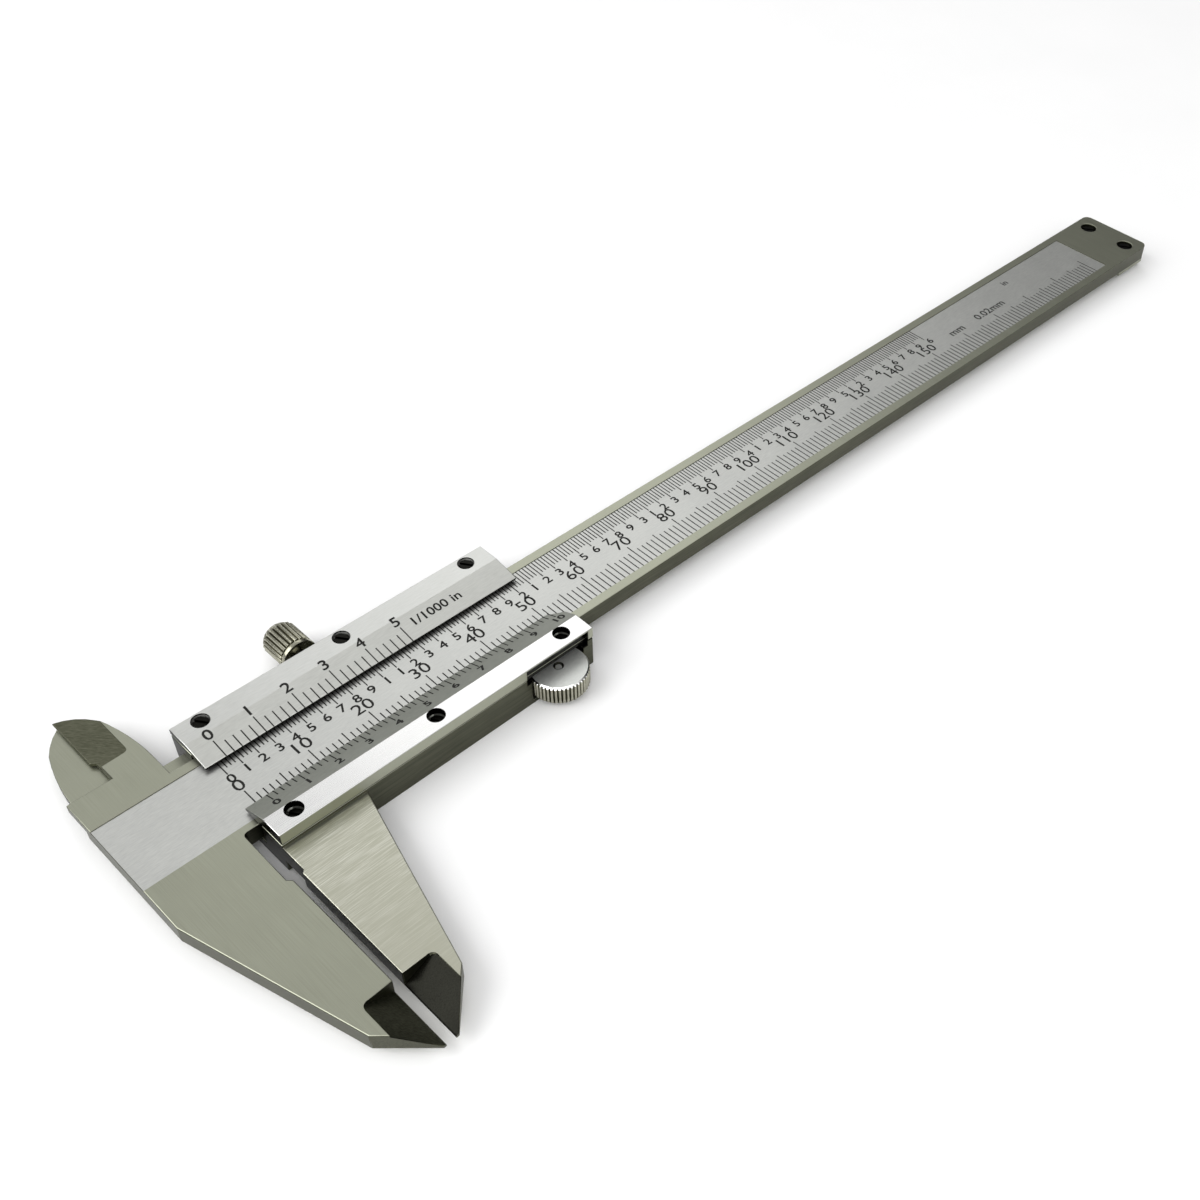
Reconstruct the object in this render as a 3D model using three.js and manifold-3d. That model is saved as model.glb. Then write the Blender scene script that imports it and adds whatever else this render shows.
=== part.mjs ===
// A 150 mm / 6 in vernier caliper with outside jaws, inside jaws and a depth blade.
//
// Millimetres. X runs along the beam from the jaws to its far end, Y runs across the beam towards the
// inside jaws, and Z rises out of the scale face. Everything is drawn from a datum on the back of the
// beam, on its centreline, in the plane of the fixed outside jaw's measuring face, so that X reads as
// a length. The slider and everything on it are drawn in the slider's own frame, whose datum lies in
// the measuring face of its own jaw, and the slider stands open by OPENING. The finished group is then
// moved so that it lies on Z = 0 with the middle of its box over the origin.

import * as THREE from "three";
import { mergeVertices } from "three/addons/utils/BufferGeometryUtils.js";
import Module from "manifold-3d";

const wasm = await Module();
wasm.setup();

// Running fits and seats.
const GAP = 0.3; // clearance between any two pieces
const OVERCUT = 1; // how far a cutting tool runs past the face it leaves
const FLUSH = 0.05; // how far a pin's end lies below the face around it

// Opening of the jaws.
const OPENING = 1.4;

// Beam, with the head and the two fixed jaws in one piece.
const BEAM_WIDTH = 16;
const BEAM_THICKNESS = 3;
const BEAM_LENGTH = 221; // measuring face to far end
const BEAM_CORNER = 1.5;
const HEAD_LENGTH = 14; // measuring face back to the head's end
const HEAD_TOP = 12.4;
const HEAD_SHOULDER = 14; // depth at which the fixed jaw's back edge starts to slope
const RAIL_WIDTH = 1.6; // ground rails on both sides of the sunk scale
const SCALE_DEPTH = 0.1;
const SCALE_LENGTH = 207; // measuring face to the end of the sunk scale
const GRIND_RELIEF = 0.5; // undercut where the beam's lower edge meets the head
const GRIND_RELIEF_LENGTH = 3.2;
const GRIND_RELIEF_CORNER = 0.8;

// Outside jaws.
const JAW_REACH = 40.6; // beam edge to tip
const JAW_FACE_START = 10; // beam edge to the start of the measuring face
const FIXED_FACE_RELIEF = 0.6;
const MOVING_FACE_RELIEF = 0.4;
const MOVING_JAW_WIDTH = 13.65; // at the slider
const NIB_LENGTH = 10; // the thin tip
const NIB_SLOPE_LENGTH = 6; // the slanted end of the tip
const NIB_BACK = 6.4; // jaw width where the slanted end starts
const NIB_GROUND = 4.7; // width of the ground face of the tip
const NIB_EDGE = 0.35; // thickness at the measuring edge
const NIB_STEP = 0.3; // depth of the ground face where it starts
const NIB_CORNER = 1.1;
const NIB_FLAT = 0.5; // blunted tip

// Inside jaws: the fixed one is the front half of the thickness, the moving one the back half.
const INSIDE_EDGE = 8.1; // outside measuring face back to the inside measuring edge
const INSIDE_REACH = 19.7; // beam edge to tip
const INSIDE_WIDTH = 6.45;
const INSIDE_SHOULDER_WIDTH = 4.45; // where the slanted end starts
const INSIDE_SHOULDER = 15.2; // beam edge to the slanted end
const INSIDE_CURVE_START = 4; // beam edge to the start of the curved back
const INSIDE_RELIEF = 0.6;
const INSIDE_RELIEF_REACH = 9.6; // beam edge to the end of the relief
const INSIDE_GROUND_START = 7.25; // beam edge to the ground face
const INSIDE_GROUND = 4.6;
const INSIDE_NIB = 0.4;
const INSIDE_STEP = 0.2; // depth of the ground face where it starts
const INSIDE_CORNER = 0.8;
const INSIDE_NECK = 3.2; // beam edge to the top of the moving jaw's neck

// Slider body.
const SLIDER_START = 0.4; // measuring face to the body's left end
const SLIDER_LENGTH = 54;
const LOWER_WALL = 4.6;
const UPPER_WALL = 3.8;
const FLOOR_THICKNESS = 1.8;
const WALL_RISE = 0.4; // the walls' height above the beam's face
const GIB_THICKNESS = 0.9;
const GIB_CLEARANCE = 0.3; // above and below the gib strip, within the beam's thickness
const GIB_START = 1.6; // left end of the body to the gib strip
const GIB_END = 1; // gib strip to the right end of the body

// Vernier plates.
const PLATE_OVERHANG = 0.1; // past the sides of the slider's walls
const LIP_THICKNESS = 0.4; // the thin edge that carries the vernier lines
const UPPER_PLATE_THICKNESS = 0.9;
const UPPER_FLAT = 4; // width of the flat that the screws stand in
const UPPER_COVER = 3.3; // how far the plate reaches over the beam
const LOWER_PLATE_THICKNESS = 2;
const LOWER_FLAT = 3.7;
const LOWER_COVER = 3.4;
const LOWER_LIP_CORNER = 2.2; // cut off the right end of the lower plate's slope

// Plate screws.
const PLATE_SCREW_START = 3.85; // left end of the body to the first screw
const PLATE_SCREW_END = 4.15; // last screw to the right end
const UPPER_SCREW_INSET = 1.5; // side of the wall to the screws
const LOWER_SCREW_INSET = 2.3;
const SCREW_HEAD = 1.05; // radii
const SCREW_SHANK = 0.6;
const SCREW_HEAD_DEPTH = 0.55;
const SCREW_SUNK = 0.25;
const UPPER_SCREW_LENGTH = 2.2;
const LOWER_SCREW_LENGTH = 3;
const SCREW_COUNTERBORE = 1.2;

// Thumb roller.
const ROLLER_END = 6.9; // the roller's pin to the right end of the body
const ROLLER_RADIUS = 4.65;
const ROLLER_THICKNESS = 3.5;
const ROLLER_SUNK = 0.6; // the beam's face to the roller's
const ROLLER_CHAMFER = 0.25;
const ROLLER_PIN = 0.5;
const ROLLER_PIN_SUNK = 0.2; // the roller's face to the pin's end
const ROLLER_LUG = 2.2; // radius of the ear on the slider's back that holds the pin
const ROLLER_NOTCH_DEPTH = 0.8; // thumb clearance cut into the sides of the body and the lower plate
const ROLLER_NOTCH_ROOF = 0.3;
const ROLLER_NOTCH_MARGIN = 1.2; // past the roller's rim on both sides

// Lock screw.
const LOCK_ASIDE = 5.1; // middle of the plate screws to the lock screw
const LOCK_HEAD = 2.8;
const LOCK_HEAD_LENGTH = 6.1;
const LOCK_NECK = 2; // side of the body to the head
const LOCK_SHANK = 1.1;
const LOCK_CUP = 0.8;
const LOCK_CUP_RIM = 0.5;
const LOCK_CHAMFER = 0.4;

// Gib adjusting screws.
const GIB_SCREW_START = 11.6; // left end of the body to the first screw
const GIB_SCREW_END = 16.4; // second screw to the right end
const GIB_SCREW = 0.8;
const GIB_SCREW_SUNK = 0.3;

// Depth blade, with the groove it runs in and the rivets that hold it.
const BLADE_WIDTH = 3.8;
const BLADE_THICKNESS = 1.5;
const BLADE_START = 8.6;
const BLADE_TIP_CUT = 1.6;
const GROOVE_START = 8;
const RIVETS = [11.6, 27.6]; // left end of the body to each rivet
const RIVET_RADIUS = 0.6;
const RIVET_HEAD = 1.1;
const RIVET_HEAD_THICKNESS = 0.5;

// End stop.
const STOP_LENGTH = 9;
const STOP_WIDTH = 15;
const STOP_THICKNESS = 1;
const STOP_SCREW_X = 4; // far end back to the screws
const STOP_SCREW_Y = 4.7;
const STOP_SCREW_HEAD = 1.35;
const STOP_SCREW_SHANK = 0.8;
const STOP_SCREW_HEAD_DEPTH = 0.9;
const STOP_SCREW_SUNK = 0.4;

// Sizes that follow from those.
const HALF_BEAM = BEAM_WIDTH / 2;
const MID = BEAM_THICKNESS / 2;
const SLIDER_END = SLIDER_START + SLIDER_LENGTH;
const FLOOR_TOP = -GAP;
const FLOOR_BOTTOM = FLOOR_TOP - FLOOR_THICKNESS;
const WALL_TOP = BEAM_THICKNESS + WALL_RISE;
const CHANNEL_LOW = -HALF_BEAM - GAP;
const GIB_LOW = HALF_BEAM + GAP;
const GIB_HIGH = GIB_LOW + GIB_THICKNESS;
const CHANNEL_HIGH = GIB_HIGH + GAP;
const SLIDER_LOW = CHANNEL_LOW - LOWER_WALL;
const SLIDER_HIGH = CHANNEL_HIGH + UPPER_WALL;
const PLATE_FLOOR = WALL_TOP + GAP;
const LIP_FLOOR = BEAM_THICKNESS + GAP;
const LIP_EDGE = LIP_FLOOR + LIP_THICKNESS;
const UPPER_PLATE_TOP = PLATE_FLOOR + UPPER_PLATE_THICKNESS;
const LOWER_PLATE_TOP = PLATE_FLOOR + LOWER_PLATE_THICKNESS;
const ROLLER_X = SLIDER_END - ROLLER_END;
const ROLLER_HIGH = BEAM_THICKNESS - ROLLER_SUNK;
const ROLLER_LOW = ROLLER_HIGH - ROLLER_THICKNESS;
const LUG_TOP = ROLLER_LOW - GAP;
const LOCK_X = (SLIDER_START + PLATE_SCREW_START + SLIDER_END - PLATE_SCREW_END) / 2 - LOCK_ASIDE;
const ROLLER_Y = -HALF_BEAM - GAP - ROLLER_RADIUS;
const GROOVE_DEPTH = BLADE_THICKNESS + GAP;

const satin = new THREE.MeshStandardMaterial({ color: 0xc4c4c2, roughness: 0.45, metalness: 1 });
const ground = new THREE.MeshStandardMaterial({ color: 0x9a9c8c, roughness: 0.35, metalness: 1 });
const brushed = new THREE.MeshStandardMaterial({ color: 0xd8d8dc, roughness: 0.3, metalness: 1 });
const nickel = new THREE.MeshStandardMaterial({ color: 0xb4b2a4, roughness: 0.25, metalness: 1 });
const blackened = new THREE.MeshStandardMaterial({ color: 0x2c2c28, roughness: 0.4, metalness: 0.8 });
const bronze = new THREE.MeshStandardMaterial({ color: 0xb08d57, roughness: 0.4, metalness: 1 });

// ---- Solids ----

function solid(geometry) {
  const bare = geometry.clone();
  bare.deleteAttribute("normal");
  bare.deleteAttribute("uv");
  const merged = mergeVertices(bare, 1e-4);
  return new wasm.Manifold(
    new wasm.Mesh({
      numProp: 3,
      vertProperties: merged.attributes.position.array,
      triVerts: new Uint32Array(merged.index.array),
    }),
  );
}

function geometryOf(manifold) {
  const mesh = manifold.getMesh();
  const geometry = new THREE.BufferGeometry();
  geometry.setAttribute("position", new THREE.BufferAttribute(mesh.vertProperties, 3));
  geometry.setIndex(new THREE.BufferAttribute(mesh.triVerts, 1));
  const flat = geometry.toNonIndexed();
  flat.computeVertexNormals();
  return flat;
}

function block(x0, x1, y0, y1, z0, z1) {
  const geometry = new THREE.BoxGeometry(x1 - x0, y1 - y0, z1 - z0);
  geometry.translate((x0 + x1) / 2, (y0 + y1) / 2, (z0 + z1) / 2);
  return solid(geometry);
}

// An outline in the XY plane, given a thickness from z0 to z1.
function slab(shape, z0, z1) {
  const geometry = new THREE.ExtrudeGeometry(shape, {
    depth: z1 - z0,
    bevelEnabled: false,
    curveSegments: 10,
  });
  geometry.translate(0, 0, z0);
  return solid(geometry);
}

// A section in the YZ plane, run along X.
function bar(section, x0, x1) {
  const shape = new THREE.Shape(section.map(([y, z]) => new THREE.Vector2(y, z)));
  const geometry = new THREE.ExtrudeGeometry(shape, { depth: x1 - x0, bevelEnabled: false });
  geometry.applyMatrix4(new THREE.Matrix4().set(0, 0, 1, x0, 1, 0, 0, 0, 0, 1, 0, 0, 0, 0, 0, 1));
  return solid(geometry);
}

// A section in the XZ plane, run along Y.
function wedge(section, y0, y1) {
  const shape = new THREE.Shape(section.map(([x, z]) => new THREE.Vector2(x, z)));
  const geometry = new THREE.ExtrudeGeometry(shape, { depth: y1 - y0, bevelEnabled: false });
  geometry.applyMatrix4(new THREE.Matrix4().set(1, 0, 0, 0, 0, 0, -1, y1, 0, 1, 0, 0, 0, 0, 0, 1));
  return solid(geometry);
}

// A profile of [radius, height] pairs turned about Z, or about Y, through a point.
function turned(profile, x, y, z, axis = "z", segments = 28) {
  const points = profile.map(([radius, height]) => new THREE.Vector2(radius, height));
  const geometry = new THREE.LatheGeometry(points, segments);
  if (axis === "z") geometry.rotateX(Math.PI / 2);
  geometry.translate(x, y, z);
  return solid(geometry);
}

function rod(radius, low, high, x, y, z, axis = "z", segments = 28) {
  return turned([[0, low], [radius, low], [radius, high], [0, high]], x, y, z, axis, segments);
}

function piece(name, manifold, material) {
  const mesh = new THREE.Mesh(geometryOf(manifold), material);
  mesh.name = name;
  return mesh;
}

// ---- Jaw outlines shared by the fixed and the moving side ----

// The outline of a ground face, from the edge it thins down to, back to a rounded inner corner.
function groundOutline(edge, back, open, root, corner) {
  const shape = new THREE.Shape();
  shape.moveTo(edge, open);
  shape.lineTo(back, open);
  shape.lineTo(back, root + Math.sign(open - root) * corner);
  shape.quadraticCurveTo(back, root, back + Math.sign(edge - back) * corner, root);
  shape.lineTo(edge, root);
  return shape;
}

// The ground face of an outside jaw's tip: it slopes from the front down to a thin measuring edge.
function nibCut(side) {
  const edge = side * OVERCUT;
  const back = -side * NIB_GROUND;
  const top = BEAM_THICKNESS + OVERCUT;
  const start = BEAM_THICKNESS - NIB_STEP;
  const slope = (start - NIB_EDGE) / NIB_GROUND;
  const section = [
    [back, start],
    [edge, NIB_EDGE - slope * OVERCUT],
    [edge, top],
    [back, top],
  ];
  const tip = -HALF_BEAM - JAW_REACH;
  const root = tip + NIB_LENGTH;
  const outline = groundOutline(edge, back, tip - OVERCUT, root, NIB_CORNER);
  return wedge(side > 0 ? section : section.reverse(), tip - OVERCUT, root).intersect(
    slab(outline, -OVERCUT, top),
  );
}

// Outline of an inside jaw from its root at the beam's edge to its tip. The side is -1 for a jaw whose
// body lies to the left of its measuring edge and 1 for one whose body lies to the right.
function insideJaw(edge, side, root) {
  const at = (across, up) => new THREE.Vector2(edge + side * across, HALF_BEAM + up);
  const rise = INSIDE_SHOULDER - INSIDE_CURVE_START;
  const inset = INSIDE_WIDTH - INSIDE_SHOULDER_WIDTH;
  const radius = (rise * rise + inset * inset) / (2 * inset);
  const outline = [at(INSIDE_WIDTH, -root)];
  const steps = 6;
  for (let step = 0; step <= steps; step++) {
    const up = (rise * step) / steps;
    const across = INSIDE_WIDTH - radius + Math.sqrt(radius * radius - up * up);
    outline.push(at(across, INSIDE_CURVE_START + up));
  }
  const crown = new THREE.QuadraticBezierCurve(
    at(INSIDE_SHOULDER_WIDTH, INSIDE_SHOULDER),
    at(INSIDE_SHOULDER_WIDTH * 0.63, INSIDE_SHOULDER + (INSIDE_REACH - INSIDE_SHOULDER) * 0.69),
    at(0, INSIDE_REACH),
  );
  outline.push(...crown.getPoints(4).slice(1));
  outline.push(at(0, INSIDE_RELIEF_REACH));
  outline.push(at(INSIDE_RELIEF, INSIDE_RELIEF_REACH - INSIDE_RELIEF));
  outline.push(at(INSIDE_RELIEF, -root));
  return new THREE.Shape(outline);
}

// The ground face of an inside jaw: it slopes from one face of the sheet to a thin measuring edge.
function insideCut(edge, side, face, floor) {
  const beyond = edge - side * OVERCUT;
  const back = edge + side * INSIDE_GROUND;
  const outward = Math.sign(face - floor);
  const start = face - outward * INSIDE_STEP;
  const slope = (start - floor) / INSIDE_GROUND;
  const open = face + outward * OVERCUT;
  const section = [
    [back, start],
    [beyond, floor - slope * OVERCUT],
    [beyond, open],
    [back, open],
  ];
  const root = HALF_BEAM + INSIDE_GROUND_START;
  const end = HALF_BEAM + INSIDE_REACH + OVERCUT;
  const outline = groundOutline(beyond, back, end, root, INSIDE_CORNER);
  return wedge(side * outward > 0 ? section.reverse() : section, root, end).intersect(
    slab(outline, -OVERCUT, BEAM_THICKNESS + OVERCUT),
  );
}

// ---- Beam ----

function beamOutline() {
  const shape = new THREE.Shape();
  const end = BEAM_LENGTH;
  const corner = BEAM_CORNER;
  shape.moveTo(GRIND_RELIEF_LENGTH, -HALF_BEAM);
  shape.lineTo(end - corner, -HALF_BEAM);
  shape.absarc(end - corner, -HALF_BEAM + corner, corner, -Math.PI / 2, 0);
  shape.lineTo(end, HALF_BEAM - corner);
  shape.absarc(end - corner, HALF_BEAM - corner, corner, 0, Math.PI / 2);
  shape.lineTo(-HEAD_LENGTH, HALF_BEAM);
  shape.lineTo(-HEAD_LENGTH, -HEAD_SHOULDER);
  const tip = -HALF_BEAM - JAW_REACH;
  shape.lineTo(-NIB_BACK, tip + NIB_SLOPE_LENGTH);
  shape.lineTo(-NIB_FLAT, tip);
  shape.lineTo(0, tip);
  shape.lineTo(0, -HALF_BEAM - JAW_FACE_START);
  shape.lineTo(-FIXED_FACE_RELIEF, -HALF_BEAM - JAW_FACE_START + FIXED_FACE_RELIEF);
  const relief = -HALF_BEAM + GRIND_RELIEF;
  shape.lineTo(-FIXED_FACE_RELIEF, relief - GRIND_RELIEF_CORNER);
  shape.quadraticCurveTo(
    -FIXED_FACE_RELIEF,
    relief,
    -FIXED_FACE_RELIEF + GRIND_RELIEF_CORNER,
    relief,
  );
  shape.lineTo(GRIND_RELIEF_LENGTH, relief);
  return shape;
}

function stopScrewHole(side) {
  const x = BEAM_LENGTH - STOP_SCREW_X;
  const seat = BEAM_THICKNESS - STOP_SCREW_SUNK - STOP_SCREW_HEAD_DEPTH - GAP;
  const shank = STOP_SCREW_SHANK + GAP;
  const head = STOP_SCREW_HEAD + GAP;
  const profile = [
    [0, -STOP_THICKNESS - OVERCUT],
    [shank, -STOP_THICKNESS - OVERCUT],
    [shank, seat],
    [head, seat],
    [head, BEAM_THICKNESS + OVERCUT],
    [0, BEAM_THICKNESS + OVERCUT],
  ];
  return turned(profile, x, side * STOP_SCREW_Y, 0);
}

function beam() {
  const head = new THREE.Shape([
    new THREE.Vector2(-HEAD_LENGTH, HALF_BEAM - OVERCUT),
    new THREE.Vector2(-INSIDE_EDGE + INSIDE_RELIEF + OVERCUT, HALF_BEAM - OVERCUT),
    new THREE.Vector2(-INSIDE_EDGE + INSIDE_RELIEF + OVERCUT, HEAD_TOP),
    new THREE.Vector2(-HEAD_LENGTH, HEAD_TOP),
  ]);
  const scaleHalf = HALF_BEAM - RAIL_WIDTH;
  const scaleFloor = BEAM_THICKNESS - SCALE_DEPTH;
  let body = slab(beamOutline(), 0, BEAM_THICKNESS)
    .add(slab(head, MID, BEAM_THICKNESS))
    .add(slab(insideJaw(-INSIDE_EDGE, 1, OVERCUT), MID, BEAM_THICKNESS))
    .subtract(nibCut(1))
    .subtract(insideCut(-INSIDE_EDGE, 1, BEAM_THICKNESS, MID + INSIDE_NIB))
    .subtract(
      block(
        -HEAD_LENGTH - OVERCUT,
        SCALE_LENGTH,
        -scaleHalf,
        scaleHalf,
        scaleFloor,
        BEAM_THICKNESS + OVERCUT,
      ),
    );
  const grooveHalf = BLADE_WIDTH / 2 + GAP;
  body = body.subtract(
    block(GROOVE_START, BEAM_LENGTH + OVERCUT, -grooveHalf, grooveHalf, -OVERCUT, GROOVE_DEPTH),
  );
  for (const side of [-1, 1]) body = body.subtract(stopScrewHole(side));
  return piece("beam", body, ground);
}

// ---- End stop at the far end of the beam ----

function endStop() {
  const x0 = BEAM_LENGTH - STOP_LENGTH;
  let plate = block(x0, BEAM_LENGTH, -STOP_WIDTH / 2, STOP_WIDTH / 2, -GAP - STOP_THICKNESS, -GAP);
  for (const side of [-1, 1]) plate = plate.subtract(stopScrewHole(side));
  return piece("end_stop", plate, satin);
}

function endStopScrew(index, side) {
  const top = BEAM_THICKNESS - STOP_SCREW_SUNK;
  const seat = top - STOP_SCREW_HEAD_DEPTH;
  const profile = [
    [0, -STOP_THICKNESS],
    [STOP_SCREW_SHANK, -STOP_THICKNESS],
    [STOP_SCREW_SHANK, seat],
    [STOP_SCREW_HEAD, seat],
    [STOP_SCREW_HEAD, top],
    [0, top],
  ];
  const screw = turned(profile, BEAM_LENGTH - STOP_SCREW_X, side * STOP_SCREW_Y, 0);
  return piece(`end_stop_screw_${index}`, screw, blackened);
}

// ---- Slider body, with the moving jaws in one piece ----

function outsideJaw() {
  const tip = -HALF_BEAM - JAW_REACH;
  const points = [
    [MOVING_FACE_RELIEF, SLIDER_LOW + OVERCUT],
    [MOVING_FACE_RELIEF, -HALF_BEAM - JAW_FACE_START + MOVING_FACE_RELIEF],
    [0, -HALF_BEAM - JAW_FACE_START],
    [0, tip],
    [NIB_FLAT, tip],
    [NIB_BACK - MOVING_FACE_RELIEF, tip + NIB_SLOPE_LENGTH],
    [MOVING_JAW_WIDTH, SLIDER_LOW],
    [MOVING_JAW_WIDTH, SLIDER_LOW + OVERCUT],
  ];
  const shape = new THREE.Shape(points.map(([x, y]) => new THREE.Vector2(x, y)));
  return slab(shape, 0, BEAM_THICKNESS).subtract(nibCut(-1));
}

function movingInsideJaw() {
  const front = MID - GAP;
  const edge = -INSIDE_EDGE;
  const low = HALF_BEAM + GAP;
  const jaw = slab(insideJaw(edge, -1, -GAP), 0, front);
  const neck = block(edge - INSIDE_WIDTH, SLIDER_START + OVERCUT, low, HALF_BEAM + INSIDE_NECK, 0, front);
  return jaw.add(neck).subtract(insideCut(edge, -1, 0, front - INSIDE_NIB));
}

function rollerSlot() {
  const half = ROLLER_RADIUS + GAP;
  return block(
    ROLLER_X - half,
    ROLLER_X + half,
    SLIDER_LOW - OVERCUT,
    -HALF_BEAM + OVERCUT,
    LUG_TOP,
    ROLLER_HIGH + GAP,
  );
}

// Room for the thumb over the roller, from this height up to the next.
function thumbNotch(low, high) {
  const half = ROLLER_RADIUS + ROLLER_NOTCH_MARGIN;
  return block(
    ROLLER_X - half,
    ROLLER_X + half,
    SLIDER_LOW - PLATE_OVERHANG - OVERCUT,
    SLIDER_LOW - PLATE_OVERHANG + ROLLER_NOTCH_DEPTH,
    low,
    high,
  );
}

function sliderBody() {
  let body = block(SLIDER_START, SLIDER_END, SLIDER_LOW, SLIDER_HIGH, FLOOR_BOTTOM, WALL_TOP)
    .subtract(
      block(
        SLIDER_START - OVERCUT,
        SLIDER_END + OVERCUT,
        CHANNEL_LOW,
        GIB_LOW,
        FLOOR_TOP,
        WALL_TOP + OVERCUT,
      ),
    )
    .subtract(
      block(
        SLIDER_START + GIB_START - GAP,
        SLIDER_END + OVERCUT,
        HALF_BEAM,
        CHANNEL_HIGH,
        FLOOR_TOP,
        WALL_TOP + OVERCUT,
      ),
    )
    .add(outsideJaw())
    .add(movingInsideJaw())
    .subtract(rollerSlot())
    .subtract(thumbNotch(ROLLER_HIGH, WALL_TOP + OVERCUT))
    .add(rod(ROLLER_LUG, FLOOR_BOTTOM, LUG_TOP, ROLLER_X, ROLLER_Y, 0))
    .subtract(rod(ROLLER_PIN + GAP, FLOOR_BOTTOM - OVERCUT, LUG_TOP + OVERCUT, ROLLER_X, ROLLER_Y, 0))
    .subtract(sideHole(LOCK_SHANK, LOCK_X));
  for (const x of gibScrewPlaces()) body = body.subtract(sideHole(GIB_SCREW, x));
  for (const x of plateScrewPlaces()) {
    body = body.subtract(upperScrewHole(x)).subtract(lowerScrewHole(x));
  }
  for (const x of RIVETS) body = body.subtract(rivetHole(x));
  return piece("slider_body", body, ground);
}

// A hole through the slider's upper wall for a screw of this radius.
function sideHole(radius, x) {
  return rod(radius + GAP, HALF_BEAM, SLIDER_HIGH + OVERCUT, x, 0, MID, "y");
}

// ---- Gib strip and its screws ----

function gibStrip() {
  const x0 = SLIDER_START + GIB_START;
  const z1 = BEAM_THICKNESS - GIB_CLEARANCE;
  const strip = block(x0, SLIDER_END - GIB_END, GIB_LOW, GIB_HIGH, GIB_CLEARANCE, z1);
  return piece("gib_strip", strip, bronze);
}

function gibScrewPlaces() {
  return [SLIDER_START + GIB_SCREW_START, SLIDER_END - GIB_SCREW_END];
}

function gibScrew(index, x) {
  const high = SLIDER_HIGH - GIB_SCREW_SUNK;
  const screw = rod(GIB_SCREW, CHANNEL_HIGH, high, x, 0, MID, "y", 20);
  return piece(`gib_screw_${index}`, screw, blackened);
}

// ---- Vernier plates ----

function upperPlate() {
  const lip = HALF_BEAM - UPPER_COVER;
  const side = SLIDER_HIGH + PLATE_OVERHANG;
  const section = [
    [lip, LIP_FLOOR],
    [HALF_BEAM, LIP_FLOOR],
    [HALF_BEAM, PLATE_FLOOR],
    [side, PLATE_FLOOR],
    [side, UPPER_PLATE_TOP],
    [side - UPPER_FLAT, UPPER_PLATE_TOP],
    [lip, LIP_EDGE],
  ];
  let plate = bar(section, SLIDER_START, SLIDER_END);
  for (const x of plateScrewPlaces()) plate = plate.subtract(upperScrewHole(x));
  return piece("upper_vernier_plate", plate, satin);
}

function lowerPlate() {
  const lip = -HALF_BEAM + LOWER_COVER;
  const side = SLIDER_LOW - PLATE_OVERHANG;
  const section = [
    [side, PLATE_FLOOR],
    [-HALF_BEAM, PLATE_FLOOR],
    [-HALF_BEAM, LIP_FLOOR],
    [lip, LIP_FLOOR],
    [lip, LIP_EDGE],
    [side + LOWER_FLAT, LOWER_PLATE_TOP],
    [side, LOWER_PLATE_TOP],
  ];
  const corner = new THREE.Shape([
    new THREE.Vector2(SLIDER_END + OVERCUT, lip - LOWER_LIP_CORNER),
    new THREE.Vector2(SLIDER_END + OVERCUT, lip + OVERCUT),
    new THREE.Vector2(SLIDER_END - LOWER_LIP_CORNER, lip + OVERCUT),
    new THREE.Vector2(SLIDER_END - LOWER_LIP_CORNER, lip),
    new THREE.Vector2(SLIDER_END, lip - LOWER_LIP_CORNER),
  ]);
  let plate = bar(section, SLIDER_START, SLIDER_END)
    .subtract(slab(corner, LIP_FLOOR - OVERCUT, LOWER_PLATE_TOP))
    .subtract(thumbNotch(PLATE_FLOOR - OVERCUT, LOWER_PLATE_TOP - ROLLER_NOTCH_ROOF));
  for (const x of plateScrewPlaces()) plate = plate.subtract(lowerScrewHole(x));
  return piece("lower_vernier_plate", plate, brushed);
}

// ---- Countersunk screws that hold the plates ----

function plateScrewPlaces() {
  const first = SLIDER_START + PLATE_SCREW_START;
  const last = SLIDER_END - PLATE_SCREW_END;
  return [first, (first + last) / 2, last];
}

// A countersunk screw with its head's face at the top height, grown all round by the margin.
function screwProfile(top, length, margin, above) {
  const neck = top - SCREW_HEAD_DEPTH;
  return [
    [0, top - length - margin],
    [SCREW_SHANK + margin, top - length - margin],
    [SCREW_SHANK + margin, neck],
    [SCREW_HEAD + margin, top],
    [SCREW_HEAD + margin, top + above],
    [0, top + above],
  ].filter(([radius, height], n, all) => n === 0 || all[n - 1][0] !== radius || all[n - 1][1] !== height);
}

// The last lower screw stops short of the roller slot beneath it.
function lowerScrewLength(x) {
  const roof = ROLLER_HIGH + GAP;
  const overRoller = Math.abs(x - ROLLER_X) < ROLLER_RADIUS + GAP + SCREW_SHANK + GAP;
  return overRoller ? lowerScrewTop() - roof : LOWER_SCREW_LENGTH;
}

function upperScrewTop() {
  return UPPER_PLATE_TOP - SCREW_SUNK;
}

function lowerScrewTop() {
  return LOWER_PLATE_TOP - SCREW_COUNTERBORE;
}

function upperScrewHole(x) {
  const profile = screwProfile(upperScrewTop(), UPPER_SCREW_LENGTH, GAP, SCREW_SUNK + OVERCUT);
  return turned(profile, x, SLIDER_HIGH - UPPER_SCREW_INSET, 0);
}

function lowerScrewHole(x) {
  const above = SCREW_COUNTERBORE + OVERCUT;
  const profile = screwProfile(lowerScrewTop(), lowerScrewLength(x), GAP, above);
  return turned(profile, x, SLIDER_LOW + LOWER_SCREW_INSET, 0);
}

function upperScrew(index, x) {
  const profile = screwProfile(upperScrewTop(), UPPER_SCREW_LENGTH, 0, 0);
  const screw = turned(profile, x, SLIDER_HIGH - UPPER_SCREW_INSET, 0);
  return piece(`upper_plate_screw_${index}`, screw, blackened);
}

function lowerScrew(index, x) {
  const profile = screwProfile(lowerScrewTop(), lowerScrewLength(x), 0, 0);
  const screw = turned(profile, x, SLIDER_LOW + LOWER_SCREW_INSET, 0);
  return piece(`lower_plate_screw_${index}`, screw, blackened);
}

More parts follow.
